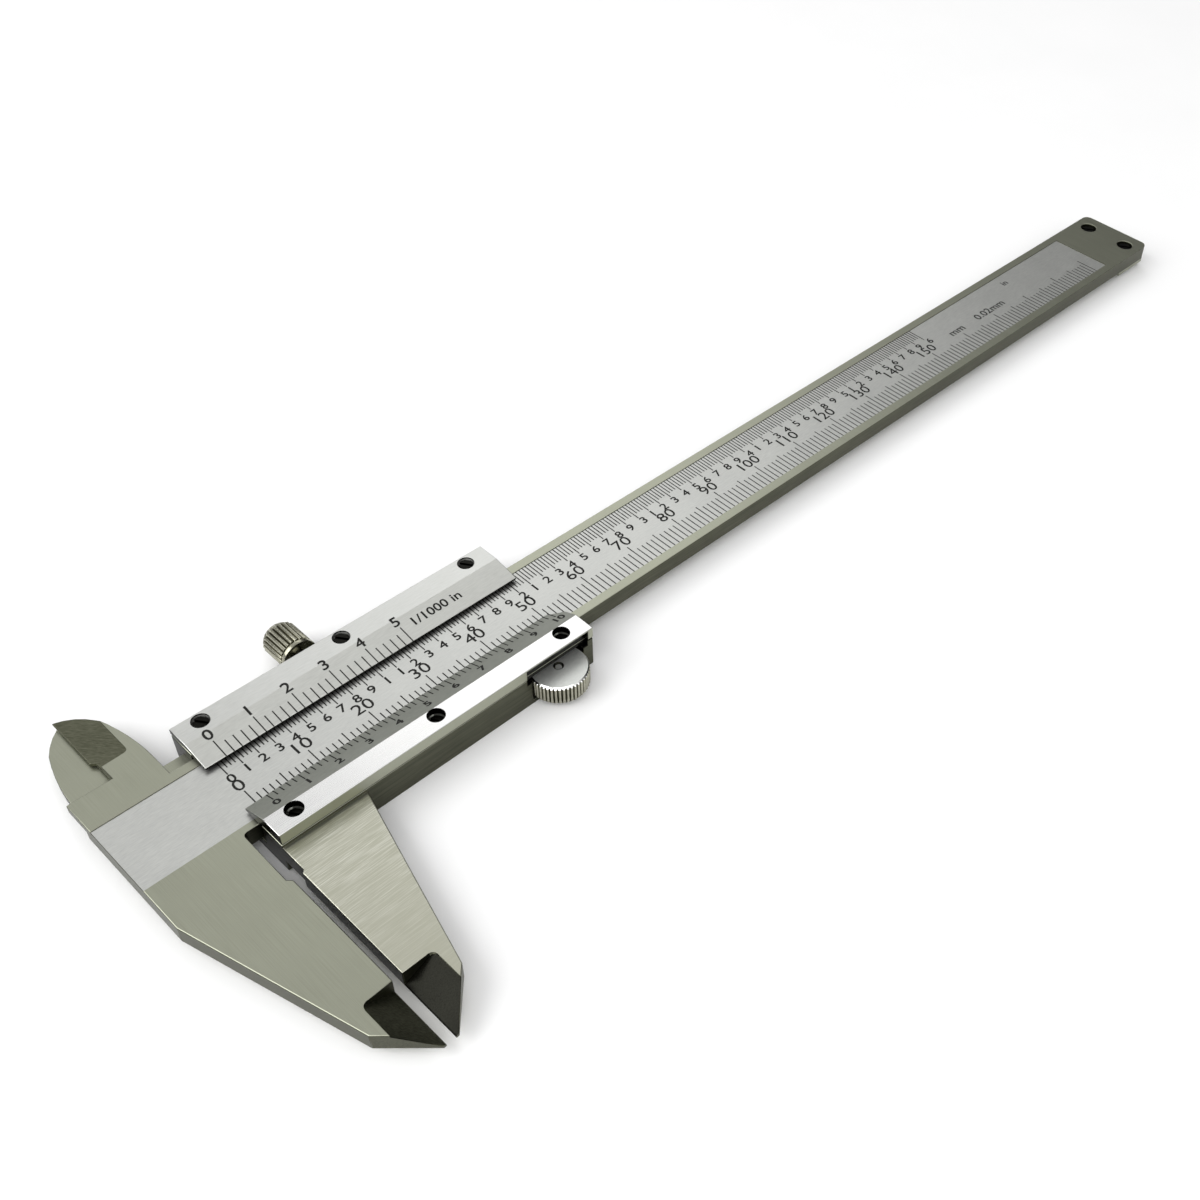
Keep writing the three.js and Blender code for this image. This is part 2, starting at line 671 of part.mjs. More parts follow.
// ---- Thumb roller and its pin ----

function thumbRoller() {
  const rim = ROLLER_RADIUS;
  const bore = ROLLER_PIN + GAP;
  const profile = [
    [bore, ROLLER_LOW],
    [rim - ROLLER_CHAMFER, ROLLER_LOW],
    [rim, ROLLER_LOW + ROLLER_CHAMFER],
    [rim, ROLLER_HIGH - ROLLER_CHAMFER],
    [rim - ROLLER_CHAMFER, ROLLER_HIGH],
    [bore, ROLLER_HIGH],
    [bore, ROLLER_LOW],
  ];
  return piece("thumb_roller", turned(profile, ROLLER_X, ROLLER_Y, 0, "z", 48), nickel);
}

function rollerPin() {
  const high = ROLLER_HIGH - ROLLER_PIN_SUNK;
  const pin = rod(ROLLER_PIN, FLOOR_BOTTOM + FLUSH, high, ROLLER_X, ROLLER_Y, 0, "z", 20);
  return piece("roller_pin", pin, nickel);
}

// ---- Lock screw ----

function lockScrew() {
  const under = SLIDER_HIGH + LOCK_NECK;
  const top = under + LOCK_HEAD_LENGTH;
  const profile = [
    [0, CHANNEL_HIGH],
    [LOCK_SHANK, CHANNEL_HIGH],
    [LOCK_SHANK, under + LOCK_CUP],
    [LOCK_HEAD - LOCK_CUP_RIM, under + LOCK_CUP],
    [LOCK_HEAD - LOCK_CUP_RIM, under],
    [LOCK_HEAD, under + LOCK_CUP_RIM],
    [LOCK_HEAD, top - LOCK_CHAMFER],
    [LOCK_HEAD - LOCK_CHAMFER, top],
    [0, top],
  ];
  return piece("lock_screw", turned(profile, LOCK_X, 0, MID, "y", 36), nickel);
}

// ---- Depth blade and its rivets ----

function rivetHole(x) {
  const profile = [
    [0, FLOOR_BOTTOM - OVERCUT],
    [RIVET_HEAD + GAP, FLOOR_BOTTOM - OVERCUT],
    [RIVET_HEAD + GAP, FLOOR_BOTTOM + RIVET_HEAD_THICKNESS + GAP],
    [RIVET_RADIUS + GAP, FLOOR_BOTTOM + RIVET_HEAD_THICKNESS + GAP],
    [RIVET_RADIUS + GAP, BLADE_THICKNESS + OVERCUT],
    [0, BLADE_THICKNESS + OVERCUT],
  ];
  return turned(profile, SLIDER_START + x, 0, 0);
}

function rivet(index, x) {
  const profile = [
    [0, FLOOR_BOTTOM + FLUSH],
    [RIVET_HEAD, FLOOR_BOTTOM + FLUSH],
    [RIVET_HEAD, FLOOR_BOTTOM + RIVET_HEAD_THICKNESS],
    [RIVET_RADIUS, FLOOR_BOTTOM + RIVET_HEAD_THICKNESS],
    [RIVET_RADIUS, BLADE_THICKNESS - FLUSH],
    [0, BLADE_THICKNESS - FLUSH],
  ];
  return piece(`blade_rivet_${index}`, turned(profile, SLIDER_START + x, 0, 0, "z", 20), nickel);
}

function depthBlade() {
  const half = BLADE_WIDTH / 2;
  const outline = new THREE.Shape([
    new THREE.Vector2(BLADE_START, -half),
    new THREE.Vector2(BEAM_LENGTH, -half),
    new THREE.Vector2(BEAM_LENGTH, half - BLADE_TIP_CUT),
    new THREE.Vector2(BEAM_LENGTH - BLADE_TIP_CUT, half),
    new THREE.Vector2(BLADE_START, half),
  ]);
  let blade = slab(outline, 0, BLADE_THICKNESS);
  for (const x of RIVETS) blade = blade.subtract(rivetHole(x));
  return piece("depth_blade", blade, brushed);
}

// ---- Assembly ----

const slider = new THREE.Group();
slider.position.x = OPENING;
slider.add(sliderBody(), upperPlate(), lowerPlate(), gibStrip());
slider.add(thumbRoller(), rollerPin(), lockScrew(), depthBlade());
plateScrewPlaces().forEach((x, n) => slider.add(upperScrew(n + 1, x), lowerScrew(n + 1, x)));
gibScrewPlaces().forEach((x, n) => slider.add(gibScrew(n + 1, x)));
RIVETS.forEach((x, n) => slider.add(rivet(n + 1, x)));

const caliper = new THREE.Group();
caliper.add(beam(), endStop(), slider);
[-1, 1].forEach((side, n) => caliper.add(endStopScrew(n + 1, side)));

// The part stands with the middle of its box over the origin, on the surface it lies on.
const box = new THREE.Box3().setFromObject(caliper);
const middle = box.getCenter(new THREE.Vector3());
caliper.position.set(-middle.x, -middle.y, -box.min.z);

export default caliper;
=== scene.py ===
"""A 150 mm / 6 in vernier caliper: beam with fixed jaws, slider with moving jaws, vernier plates, roller."""

import math

import bmesh
import bpy
import numpy as np
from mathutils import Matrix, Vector


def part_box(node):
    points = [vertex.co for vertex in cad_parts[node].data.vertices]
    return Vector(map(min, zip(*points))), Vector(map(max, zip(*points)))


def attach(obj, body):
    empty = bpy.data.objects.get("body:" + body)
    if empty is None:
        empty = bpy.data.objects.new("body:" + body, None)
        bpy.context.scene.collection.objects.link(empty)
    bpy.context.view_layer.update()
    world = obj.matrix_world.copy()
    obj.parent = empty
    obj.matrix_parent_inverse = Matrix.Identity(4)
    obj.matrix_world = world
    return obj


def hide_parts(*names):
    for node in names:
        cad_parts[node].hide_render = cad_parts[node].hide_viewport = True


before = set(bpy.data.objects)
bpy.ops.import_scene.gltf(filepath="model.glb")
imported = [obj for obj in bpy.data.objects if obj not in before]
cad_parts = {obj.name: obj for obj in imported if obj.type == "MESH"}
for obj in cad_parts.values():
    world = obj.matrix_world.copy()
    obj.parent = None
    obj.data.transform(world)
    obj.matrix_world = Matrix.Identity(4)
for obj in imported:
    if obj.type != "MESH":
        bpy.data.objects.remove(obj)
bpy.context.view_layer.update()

# ---- Camera ----
# The camera stands in front of the jaws, high on the left, and looks along the beam to its far end.
# Sizes below are in millimetres from the caliper's datum: on the beam's back and centreline, in the
# measuring face of the fixed outside jaw. HEAD_CORNER is the low corner of the beam's own box.
MM = 0.001
HEAD_CORNER = np.array([-14.0, -48.6, 0.0])
DATUM = np.array(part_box("beam")[0]) - MM * HEAD_CORNER
EYE = np.array([-43.406, -128.829, 163.563])
EYE_TURN = (45.4588, -4.2939, -48.0123)


def placed(points):
    """Points in millimetres from the datum, as points of the row frame: datum + points / 1000."""
    return DATUM + MM * np.asarray(points, float)


def linked(name, data):
    """A new object of this data, in the scene."""
    made = bpy.data.objects.new(name, data)
    bpy.context.scene.collection.objects.link(made)
    return made


camera = linked("camera", bpy.data.cameras.new("camera"))
camera.location = placed(EYE)
camera.rotation_euler = [math.radians(turn) for turn in EYE_TURN]
camera.data.sensor_width = 36.0
camera.data.lens = 43.449
camera.data.shift_x = -0.1691
camera.data.shift_y = -0.00536
camera.data.clip_start = 0.01
camera.data.clip_end = 10.0
bpy.context.scene.camera = camera
bpy.context.scene.view_settings.view_transform = "Standard"

# ---- Studio ----
# White paper under the caliper, a pale room around it and three soft boxes in the room.


def linear(colour):
    """A sRGB hex colour as linear red, green, blue and alpha."""
    parts = np.array([int(colour[i : i + 2], 16) for i in (1, 3, 5)]) / 255.0
    low = parts / 12.92
    high = ((parts + 0.055) / 1.055) ** 2.4
    return (*np.where(parts <= 0.04045, low, high).tolist(), 1.0)


def node(tree, kind, inputs=None, **settings):
    """A node of this kind with its settings; an input is given a value, or the output that feeds it."""
    made = tree.nodes.new(kind)
    for name, value in settings.items():
        setattr(made, name, value)
    for name, value in (inputs or {}).items():
        if isinstance(value, bpy.types.NodeSocket):
            tree.links.new(value, made.inputs[name])
        else:
            made.inputs[name].default_value = value
    return made


def blank(name):
    """A new material with only its output, and its node tree."""
    made = bpy.data.materials.new(name)
    made.use_nodes = True
    made.node_tree.nodes.clear()
    return made, made.node_tree


# White paper: matt, with the faint cloudiness of its pulp.
paper, tree = blank("matt_white_paper")
place = node(tree, "ShaderNodeTexCoord")
pulp = node(tree, "ShaderNodeTexNoise", {"Vector": place.outputs["Object"], "Scale": 40.0, "Detail": 3.0})
shade = node(
    tree,
    "ShaderNodeMix",
    {"Factor": pulp.outputs["Fac"], "A": linear("#F6F6F6"), "B": linear("#FAFAFA")},
    data_type="RGBA",
)
surface = node(tree, "ShaderNodeBsdfPrincipled", {"Base Color": shade.outputs["Result"], "Roughness": 0.9})
node(tree, "ShaderNodeOutputMaterial", {"Surface": surface.outputs["BSDF"]})

FLOOR_HALF = 3000.0
floor = bpy.data.meshes.new("floor")
corners = np.array([[-1, -1], [1, -1], [1, 1], [-1, 1]]) * FLOOR_HALF
floor.from_pydata(np.column_stack([corners * MM, np.zeros(4)]).tolist(), [], [(0, 1, 2, 3)])
floor.materials.append(paper)
floor = linked("floor", floor)

ROOM = bpy.data.worlds.new("pale_room")
ROOM.use_nodes = True
bpy.context.scene.world = ROOM
tree = ROOM.node_tree
tree.nodes.clear()


def graded(tree, value, stops):
    """A grey ramp on a value: each stop is a position and the brightness there."""
    ramp = node(tree, "ShaderNodeValToRGB", {"Fac": value})
    marks = ramp.color_ramp.elements
    while len(marks) < len(stops):
        marks.new(0.5)
    for mark, (position, brightness) in zip(marks, stops):
        mark.position = position
        mark.color = (brightness, brightness, brightness, 1.0)
    return ramp


# The sine of the height above the horizon, and the room's brightness there: dim low down, brightest
# half way up, a little less overhead.
BY_HEIGHT = ((0.0, 0.38), (0.54, 0.38), (0.7, 0.96), (0.82, 0.52), (1.0, 0.58))
# The cosine of the angle from the beam's far end, and the share of that light there: the room is dark
# in the direction that the beam points in.
BY_ANGLE = ((0.0, 0.85), (0.2, 0.85), (0.45, 1.0), (0.62, 0.7), (0.8, 0.1), (1.0, 0.0))
direction = node(tree, "ShaderNodeTexCoord")
parts = node(tree, "ShaderNodeSeparateXYZ", {"Vector": direction.outputs["Generated"]})
glow = node(
    tree,
    "ShaderNodeMix",
    {
        "Factor": 1.0,
        "A": graded(tree, parts.outputs["Z"], BY_HEIGHT).outputs["Color"],
        "B": graded(tree, parts.outputs["X"], BY_ANGLE).outputs["Color"],
    },
    data_type="RGBA",
    blend_type="MULTIPLY",
)
room = node(tree, "ShaderNodeBackground", {"Color": glow.outputs["Result"], "Strength": 1.42})
node(tree, "ShaderNodeOutputWorld", {"Surface": room.outputs["Background"]})

# Soft boxes stand on the left, in front and, a small one, behind: each with its watts and its width.
for name, box_place, watts, size in (
    ("soft_box_left", (-650.0, 250.0, 620.0), 6.0, 0.8),
    ("soft_box_front", (-250.0, -650.0, 850.0), 4.0, 1.0),
    ("soft_box_behind", (520.0, 560.0, 680.0), 0.5, 0.4),
):
    light = bpy.data.lights.new(name, "AREA")
    light.size = size
    light.energy = watts
    soft_box = linked(name, light)
    soft_box.location = placed(box_place)
    soft_box.rotation_euler = (-Vector(soft_box.location)).to_track_quat("-Z", "Y").to_euler()

# ---- Beam, head and fixed jaws ----
# One blank of hardened stainless steel, ground all over. The scale lies in a shallow satin-chromed
# bed between two bright rails, and the thin tips of the jaws are ground away on one side.

# The grain has soft clouds this many millimetres wide laid over it, at this share of its own strength,
# and its lines vary the roughness by this much either way.
BLOTCH = 6.0
CLOUDINESS = 0.25
GLOSS_CHANGE = 0.05


def steel(name, dark, light, roughness, length, width, relief, turn=0.0):
    """Steel between two colours, whose tool lines are noise drawn out to length by width millimetres.

    The lines stand up by relief millimetres and lie along X, unless they are turned about Z."""
    made, tree = blank(name)
    place = node(tree, "ShaderNodeTexCoord")
    turned_place = node(
        tree,
        "ShaderNodeMapping",
        {"Vector": place.outputs["Object"], "Rotation": (0.0, 0.0, turn)},
    )
    drawn = node(
        tree,
        "ShaderNodeMapping",
        {
            "Vector": turned_place.outputs["Vector"],
            "Scale": (1 / (length * MM), 1 / (width * MM), 1 / (width * MM)),
        },
    )
    grain = node(
        tree,
        "ShaderNodeTexNoise",
        {"Vector": drawn.outputs["Vector"], "Scale": 1.0, "Detail": 3.0, "Roughness": 0.6},
    )
    clouds = node(
        tree,
        "ShaderNodeTexNoise",
        {"Vector": place.outputs["Object"], "Scale": 1 / (BLOTCH * MM), "Detail": 2.0},
    )
    amount = node(
        tree,
        "ShaderNodeMath",
        {0: clouds.outputs["Fac"], 1: CLOUDINESS, 2: grain.outputs["Fac"]},
        operation="MULTIPLY_ADD",
    )
    spread = node(
        tree,
        "ShaderNodeMapRange",
        {"Value": amount.outputs["Value"], "From Min": 0.4, "From Max": 0.85},
    )
    colour = node(
        tree,
        "ShaderNodeMix",
        {"Factor": spread.outputs["Result"], "A": linear(dark), "B": linear(light)},
        data_type="RGBA",
    )
    gloss = node(
        tree,
        "ShaderNodeMapRange",
        {
            "Value": grain.outputs["Fac"],
            "From Min": 0.3,
            "From Max": 0.7,
            "To Min": roughness - GLOSS_CHANGE,
            "To Max": roughness + GLOSS_CHANGE,
        },
    )
    lines = node(
        tree,
        "ShaderNodeBump",
        {"Height": grain.outputs["Fac"], "Strength": 0.35, "Distance": relief * MM},
    )
    finish = node(
        tree,
        "ShaderNodeBsdfPrincipled",
        {
            "Base Color": colour.outputs["Result"],
            "Metallic": 1.0,
            "Roughness": gloss.outputs["Result"],
            "Normal": lines.outputs["Normal"],
        },
    )
    node(tree, "ShaderNodeOutputMaterial", {"Surface": finish.outputs["BSDF"]})
    return made


# Satin chrome: glass-bead blasted and plated, so it is pale, even and nearly free of direction.
SATIN_CHROME = steel("satin_chrome", "#BCBDBA", "#CFD0CC", 0.42, 1.2, 0.12, 0.002)
# Ground stainless steel: a wheel leaves fine lines and a grey-green cast.
GROUND_STEEL = steel("ground_stainless_steel", "#9A9C8C", "#A6A898", 0.36, 9.0, 0.1, 0.0015, math.pi / 2)
# Milled stainless edge: its dark olive is painted shade, given to the side faces of beam and slider.
SHADED_SIDE_STEEL = steel("milled_edge_painted_shade", "#3F4034", "#5A5B4C", 0.38, 7.0, 0.18, 0.004)
# Hollow-ground tip: the wheel's slope, painted darker and warmer than the faces round it as the shade of a
# slope turned from the light.
SHADED_HOLLOW_STEEL = steel("hollow_ground_painted_shade", "#4A4B3C", "#6B6C5C", 0.36, 2.5, 0.12, 0.006, 0.9)
# Lapped steel: fine, its near-black colour painted shade and dark reflection, on the measuring faces and in
# the recesses.
NEAR_BLACK_SHADE_STEEL = steel("lapped_steel_painted_shade", "#141411", "#22221E", 0.3, 1.5, 0.1, 0.001)

# An outward edge that turns by more than this, between two faces at least this wide, is broken by ARRIS.
BROKEN_FROM = math.radians(25)
WIDE_FACE = 0.3
ARRIS = 0.13


def face_table(mesh):
    """Middles in millimetres from the datum, and normals, of a mesh's faces."""
    count = len(mesh.polygons)
    middles = np.empty(count * 3)
    normals = np.empty(count * 3)
    mesh.polygons.foreach_get("center", middles)
    mesh.polygons.foreach_get("normal", normals)
    return (middles.reshape(-1, 3) - DATUM) / MM, normals.reshape(-1, 3)


def broken_edges(mesh):
    """Gives a bevel weight of 1 to the outward edges between two wide faces.

    A face's width is twice its area over its perimeter."""
    work = bmesh.new()
    work.from_mesh(mesh)
    weight = work.edges.layers.float.new("bevel_weight_edge")
    width = [2 * f.calc_area() / f.calc_perimeter() / MM for f in work.faces]
    for edge in work.edges:
        if len(edge.link_faces) == 2 and edge.is_convex and edge.calc_face_angle(0.0) > BROKEN_FROM:
            edge[weight] = float(min(width[f.index] for f in edge.link_faces) > WIDE_FACE)
    work.to_mesh(mesh)
    work.free()


def finished(name, node_name, body):
    """The node's own shape with its loose triangles merged into flat faces and its wide edges broken."""
    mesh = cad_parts[node_name].data.copy()
    mesh.name = name
    mesh.materials.clear()
    work = bmesh.new()
    work.from_mesh(mesh)
    bmesh.ops.remove_doubles(work, verts=work.verts, dist=1e-6)
    bmesh.ops.dissolve_limit(work, angle_limit=math.radians(1), verts=work.verts, edges=work.edges)
    work.to_mesh(mesh)
    work.free()
    mesh.polygons.foreach_set("use_smooth", np.ones(len(mesh.polygons), bool))
    mesh.set_sharp_from_angle(angle=math.radians(13))
    broken_edges(mesh)
    made = linked(name, mesh)
    bevel = made.modifiers.new("broken_edges", "BEVEL")
    bevel.width = ARRIS * MM
    bevel.segments = 2
    bevel.limit_method = "WEIGHT"
    bevel.use_clamp_overlap = False
    flat = made.modifiers.new("flat_faces", "WEIGHTED_NORMAL")
    flat.keep_sharp = True
    flat.weight = 100
    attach(made, body)
    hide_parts(node_name)
    return made


def dress(piece, materials, choice):
    """Gives each face of the piece the material whose number choice holds for it."""
    for material in materials:
        piece.data.materials.append(material)
    piece.data.polygons.foreach_set("material_index", np.asarray(choice, np.int32))
    piece.data.update()


# How high the bed lies, give or take, and where the outside jaw starts, below the beam's centreline.
BED = 2.9
FLAT = 0.03
JAW_ROOT = -7.0

beam = finished("beam_with_fixed_jaws", "beam", "frame")
middles, normals = face_table(beam.data)
level = abs(normals[:, 2]) > 0.99
hollow = (normals[:, 2] > 0.3) & ~level
bed = level & (abs(middles[:, 2] - BED) < FLAT)
facing = (normals[:, 0] > 0.7) & (middles[:, 1] < JAW_ROOT) & (middles[:, 0] < 0.1)
# The sides take the olive painted shade, the hollow-ground slopes a darker painted shade, the measuring
# faces the near-black painted shade.
dress(
    beam,
    [SHADED_SIDE_STEEL, GROUND_STEEL, SATIN_CHROME, SHADED_HOLLOW_STEEL, NEAR_BLACK_SHADE_STEEL],
    np.select([bed, level, hollow, facing], [2, 1, 3, 4], 0),
)

# ---- Scales and numerals on the beam ----
# Lines and figures are etched through a resist and filled with black enamel. Metric runs along the
# lower rail in millimetres, inches along the upper rail in fortieths.

# Black enamel: baked into the etched lines, slightly pitted.
BLACK_ENAMEL, tree = blank("black_enamel_filling")
place = node(tree, "ShaderNodeTexCoord")
pits = node(tree, "ShaderNodeTexNoise", {"Vector": place.outputs["Object"], "Scale": 1 / (0.3 * MM)})
shade = node(
    tree,
    "ShaderNodeMix",
    {"Factor": pits.outputs["Fac"], "A": linear("#0C0C0B"), "B": linear("#242421")},
    data_type="RGBA",
)
pitted = node(
    tree, "ShaderNodeBump", {"Height": pits.outputs["Fac"], "Strength": 0.3, "Distance": 0.01 * MM}
)
surface = node(
    tree,
    "ShaderNodeBsdfPrincipled",
    {
        "Base Color": shade.outputs["Result"],
        "Roughness": 0.6,
        "Specular IOR Level": 0.25,
        "Normal": pitted.outputs["Normal"],
    },
)
node(tree, "ShaderNodeOutputMaterial", {"Surface": surface.outputs["BSDF"]})

ENAMEL_HALF = 0.012
LINE_WIDTH = 0.18


def shell(name, vertices, faces, material, body):
    """A piece of these vertices, in millimetres, and faces, riding on a body.

    Doubled vertices are merged and the faces turned outwards."""
    mesh = bpy.data.meshes.new(name)
    mesh.from_pydata(placed(vertices).tolist(), [], np.asarray(faces).tolist())
    work = bmesh.new()
    work.from_mesh(mesh)
    bmesh.ops.remove_doubles(work, verts=work.verts, dist=1e-7)
    bmesh.ops.recalc_face_normals(work, faces=work.faces)
    work.to_mesh(mesh)
    work.free()
    mesh.materials.append(material)
    made = linked(name, mesh)
    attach(made, body)
    return made


def scored(name, x, start, end, height, body):
    """One closed bar of enamel for each line: at x, from start to end across the beam, on this height.

    Its eight corners are x plus or minus half the line's width, at the start and at the end, and there the
    height plus or minus the enamel's half thickness."""
    y0, y1 = np.full(x.shape, start), np.broadcast_to(end, x.shape)
    side = np.array([-1, 1, 1, -1] * 2) / 2
    rise = np.array([-1] * 4 + [1] * 4) * ENAMEL_HALF
    at_end = np.array([0, 0, 1, 1] * 2)
    corners = np.stack(
        [
            x[:, None] + side * LINE_WIDTH,
            np.where(at_end, y1[:, None], y0[:, None]),
            np.where(at_end, height(y1)[:, None], height(y0)[:, None]) + rise,
        ],
        axis=-1,
    )
    box = np.array([[3, 2, 1, 0], [4, 5, 6, 7], [0, 1, 5, 4], [1, 2, 6, 5], [2, 3, 7, 6], [3, 0, 4, 7]])
    faces = (box[None] + 8 * np.arange(len(x))[:, None, None]).reshape(-1, 4)
    return shell(name, corners.reshape(-1, 3), faces, BLACK_ENAMEL, body)


FIGURE_STRETCH = 1.15


def glyph(text, height, gain):
    """The text as triangles: its outline filled and given the enamel's thickness.

    Its figures are as high as asked. It is centred left to right on its own box, and bottom to top on its
    figures. Each stroke is made heavier: a corner moves outward by the gain, in millimetres, over the cosine
    of half the turn that the outline takes there."""

    def cut(words):
        curve = bpy.data.curves.new("figure", "FONT")
        curve.body = words
        curve.extrude = 0.01
        curve.resolution_u = 3
        carrier = bpy.data.objects.new("figure", curve)
        mesh = bpy.data.meshes.new_from_object(carrier)
        bpy.data.objects.remove(carrier)
        work = bmesh.new()
        work.from_mesh(mesh)
        bmesh.ops.remove_doubles(work, verts=work.verts, dist=1e-5)
        work.verts.index_update()
        work.normal_update()
        sides = [f for f in work.faces if abs(f.normal.z) < 0.5 and len(f.verts) == 4]
        around = np.array([[v.index for v in f.verts] for f in sides])
        outward = np.zeros((len(work.verts), 2))
        np.add.at(outward, around.ravel(), np.repeat([f.normal[:2] for f in sides], 4, axis=0))
        bmesh.ops.triangulate(work, faces=work.faces)
        points = np.array([v.co for v in work.verts])
        triangles = np.array([[v.index for v in f.verts] for f in work.faces])
        work.free()
        bpy.data.meshes.remove(mesh)
        length = np.linalg.norm(outward, axis=1, keepdims=True)
        return points, triangles, 2 * outward / np.maximum(length, 1.0) ** 2

    figure = cut("0")[0]
    points, triangles, outward = cut(text)
    low, high = figure[:, 1].min(), figure[:, 1].max()
    size = height / (high - low)
    points[:, :2] += outward * gain / size
    points[:, 0] = (points[:, 0] - (points[:, 0].min() + points[:, 0].max()) / 2) * size * FIGURE_STRETCH
    points[:, 1] = (points[:, 1] - (low + high) / 2) * size
    points[:, 2] = np.sign(points[:, 2]) * ENAMEL_HALF
    return points, triangles


def lettered(name, marks, body, gain, tilt=0.0):
    """All the figures of one scale as one piece.

    A row is the text, its height, and the x, y and z of its middle. The gain makes the strokes heavier, and
    the tilt turns each figure about the X axis, to lie on a slope."""
    vertices, faces, count = [], [], 0
    turn = np.array(
        [[1, 0, 0], [0, math.cos(tilt), math.sin(tilt)], [0, -math.sin(tilt), math.cos(tilt)]]
    )
    cuts = {text: glyph(text, height, gain) for text, height, *_ in marks}
    for text, _, *middle in marks:
        points, triangles = cuts[text]
        vertices.append(points @ turn + np.array(middle))
        faces.append(triangles + count)
        count += len(points)
    return shell(name, np.vstack(vertices), np.vstack(faces), BLACK_ENAMEL, body)


def bed_height(y):
    """The bed's height at y: the same everywhere."""
    return np.full(y.shape, BED)


# Where the scales' zero stands, right of the datum, and where both rails' lines start.
ZERO = 3.6
INCH = 25.4
RAIL = 6.38

step = np.arange(0, 201)
end = np.where(step % 10 == 0, -1.4, np.where(step % 5 == 0, -2.05, -2.7))
scored("metric_scale_lines", ZERO + step, -RAIL, end, bed_height, "frame")

step = np.arange(0, 241)
end = np.where(step % 40 == 0, 2.5, np.where(step % 4 == 0, 2.75, 3.57))
scored("inch_scale_lines", ZERO + step * INCH / 40, RAIL, end, bed_height, "frame")

METRIC_FIGURE = 2.05
TENTH_FIGURE = 1.5
lettered(
    "metric_scale_figures",
    [(str(10 * n), METRIC_FIGURE, ZERO + 10 * n, -0.05, BED) for n in range(16)],
    "frame",
    gain=0.015,
)
lettered(
    "inch_scale_figures",
    [(str(n % 10), TENTH_FIGURE, ZERO + n * INCH / 10, 1.72, BED) for n in range(61) if n % 10]
    + [(str(n), TENTH_FIGURE, ZERO + n * INCH + 0.1 * n, 1.6, BED) for n in range(7)],
    "frame",
    gain=0.035,
)
lettered(
    "unit_marks",
    [
        ("mm", 1.7, 163.4, 0.2, BED),
        ("0.02mm", 1.7, 174.2, 0.2, BED),
        ("in", 1.4, 184.6, 4.1, BED),
    ],
    "frame",
    gain=0.02,
)

# ---- Slider body and moving jaws ----
# A milled body of the same steel with the moving jaws in one piece. The outside jaw is brushed
# across; painted glints lighten its colour in streaks, most of all next to the body.

BRUSHED_PAINTED_GLINTS, tree = blank("cross_brushed_painted_glints")
place = node(tree, "ShaderNodeTexCoord")
drawn = node(
    tree,
    "ShaderNodeMapping",
    {"Vector": place.outputs["Object"], "Scale": (1 / (5.0 * MM), 1 / (0.16 * MM), 1 / (0.16 * MM))},
)
streaks = node(
    tree,
    "ShaderNodeTexNoise",
    {"Vector": drawn.outputs["Vector"], "Scale": 1.0, "Detail": 4.0, "Roughness": 0.65},
)
along = node(tree, "ShaderNodeSeparateXYZ", {"Vector": place.outputs["Object"]})
near_body = node(
    tree,
    "ShaderNodeMapRange",
    {
        "Value": along.outputs["Y"],
        "From Min": float(placed((0, -42, 0))[1]),
        "From Max": float(placed((0, -14, 0))[1]),
        "To Min": 0.1,
        "To Max": 1.0,
    },
)
# Painted glints: the streaks' lighter colour, strongest next to the body, stands in for light.
glint = node(
    tree,
    "ShaderNodeMapRange",
    {"Value": streaks.outputs["Fac"], "From Min": 0.45, "From Max": 0.72},
)
share = node(
    tree,
    "ShaderNodeMath",
    {0: glint.outputs["Result"], 1: near_body.outputs["Result"]},
    operation="MULTIPLY",
)
colour = node(
    tree,
    "ShaderNodeMix",
    {"Factor": share.outputs["Value"], "A": linear("#B6B6A6"), "B": linear("#E4E4DA")},
    data_type="RGBA",
)
lines = node(
    tree,
    "ShaderNodeBump",
    {"Height": streaks.outputs["Fac"], "Strength": 0.5, "Distance": 0.008 * MM},
)
surface = node(
    tree,
    "ShaderNodeBsdfPrincipled",
    {
        "Base Color": colour.outputs["Result"],
        "Metallic": 1.0,
        "Roughness": 0.4,
        "Normal": lines.outputs["Normal"],
    },
)
node(tree, "ShaderNodeOutputMaterial", {"Surface": surface.outputs["BSDF"]})

# The lower side of the body where the jaw leaves it, and lines just behind and just before the jaw; then
# the start of the roller's notch, the outer side of the wall and the slider's back.
BODY_SIDE = -12.0
BEHIND_JAW = 16.0
BEFORE_JAW = 3.0
NOTCH = 40.0
WALL_SIDE = -12.8
BACK_FACE = -1.0

slider = finished("slider_with_moving_jaws", "slider_body", "slider")
middles, normals = face_table(slider.data)
level = abs(normals[:, 2]) > 0.99
hollow = (normals[:, 2] > 0.3) & ~level
jaw = level & (middles[:, 1] < BODY_SIDE) & (middles[:, 0] < BEHIND_JAW)
facing = (normals[:, 0] < -0.7) & (middles[:, 0] < BEFORE_JAW)
notch = (middles[:, 0] > NOTCH) & (middles[:, 1] > WALL_SIDE) & (middles[:, 2] > BACK_FACE)
# The jaw's top takes the painted glints; the notch, hollows and measuring face the near-black painted shade;
# the sides the olive painted shade.
dress(
    slider,
    [SHADED_SIDE_STEEL, GROUND_STEEL, BRUSHED_PAINTED_GLINTS, NEAR_BLACK_SHADE_STEEL],
    np.select([jaw, notch, level, hollow | facing], [2, 3, 1, 3], 0),
)

# ---- Vernier plates ----
# Two milled steel plates screwed to the slider's walls. The inch plate is satin chromed all over;
# the metric one has a polished bar along its side and a grey bevel that carries the lines.

# Polished bar: drawn steel wiped lengthwise, almost white under the light.
POLISHED_BAR = steel("polished_steel_bar", "#D4D4D4", "#E4E4E2", 0.28, 18.0, 0.12, 0.002)
